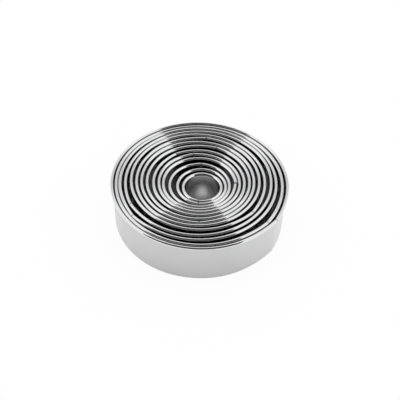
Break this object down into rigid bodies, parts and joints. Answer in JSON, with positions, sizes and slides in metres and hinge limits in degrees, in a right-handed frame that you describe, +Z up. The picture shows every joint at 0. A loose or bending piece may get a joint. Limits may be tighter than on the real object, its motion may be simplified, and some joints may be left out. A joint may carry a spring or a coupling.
{
  "type": "nested round pastry cutter set",
  "caption": "Nested set of plain round pastry cutters: thin steel rings with rolled upper rims, each lifting straight out of the next larger one.",
  "frame": {"origin": "centre of the largest ring, on the surface that the rings stand on", "axes": "+Z up, along the rings' axes and the way they lift out; -Y is the side towards the viewer"},
  "size_m": [0.1139, 0.1139, 0.03],
  "materials": {
    "steel": "polished rim, satin wall"
  },
  "bodies": {
    "ring_cutter_01": {"ring_cutter_01": "steel"},
    "ring_cutter_02": {"ring_cutter_02": "steel"},
    "ring_cutter_03": {"ring_cutter_03": "steel"},
    "ring_cutter_04": {"ring_cutter_04": "steel"},
    "ring_cutter_05": {"ring_cutter_05": "steel"},
    "ring_cutter_06": {"ring_cutter_06": "steel"},
    "ring_cutter_07": {"ring_cutter_07": "steel"},
    "ring_cutter_08": {"ring_cutter_08": "steel"},
    "ring_cutter_09": {"ring_cutter_09": "steel"},
    "ring_cutter_10": {"ring_cutter_10": "steel"},
    "ring_cutter_11": {"ring_cutter_11": "steel"},
    "ring_cutter_12": {"ring_cutter_12": "steel"},
    "ring_cutter_13": {"ring_cutter_13": "steel"},
    "ring_cutter_14": {"ring_cutter_14": "steel"}
  },
  "joints": [
    {"name": "lift_ring_01", "type": "slide", "parent": "ring_cutter_14", "child": "ring_cutter_01", "axis": [0, 0, 1], "range_m": [0, 0.032]},
    {"name": "lift_ring_02", "type": "slide", "parent": "ring_cutter_14", "child": "ring_cutter_02", "axis": [0, 0, 1], "range_m": [0, 0.032]},
    {"name": "lift_ring_03", "type": "slide", "parent": "ring_cutter_14", "child": "ring_cutter_03", "axis": [0, 0, 1], "range_m": [0, 0.032]},
    {"name": "lift_ring_04", "type": "slide", "parent": "ring_cutter_14", "child": "ring_cutter_04", "axis": [0, 0, 1], "range_m": [0, 0.032]},
    {"name": "lift_ring_05", "type": "slide", "parent": "ring_cutter_14", "child": "ring_cutter_05", "axis": [0, 0, 1], "range_m": [0, 0.032]},
    {"name": "lift_ring_06", "type": "slide", "parent": "ring_cutter_14", "child": "ring_cutter_06", "axis": [0, 0, 1], "range_m": [0, 0.032]},
    {"name": "lift_ring_07", "type": "slide", "parent": "ring_cutter_14", "child": "ring_cutter_07", "axis": [0, 0, 1], "range_m": [0, 0.032]},
    {"name": "lift_ring_08", "type": "slide", "parent": "ring_cutter_14", "child": "ring_cutter_08", "axis": [0, 0, 1], "range_m": [0, 0.032]},
    {"name": "lift_ring_09", "type": "slide", "parent": "ring_cutter_14", "child": "ring_cutter_09", "axis": [0, 0, 1], "range_m": [0, 0.032]},
    {"name": "lift_ring_10", "type": "slide", "parent": "ring_cutter_14", "child": "ring_cutter_10", "axis": [0, 0, 1], "range_m": [0, 0.032]},
    {"name": "lift_ring_11", "type": "slide", "parent": "ring_cutter_14", "child": "ring_cutter_11", "axis": [0, 0, 1], "range_m": [0, 0.032]},
    {"name": "lift_ring_12", "type": "slide", "parent": "ring_cutter_14", "child": "ring_cutter_12", "axis": [0, 0, 1], "range_m": [0, 0.032]},
    {"name": "lift_ring_13", "type": "slide", "parent": "ring_cutter_14", "child": "ring_cutter_13", "axis": [0, 0, 1], "range_m": [0, 0.032]}
  ]
}
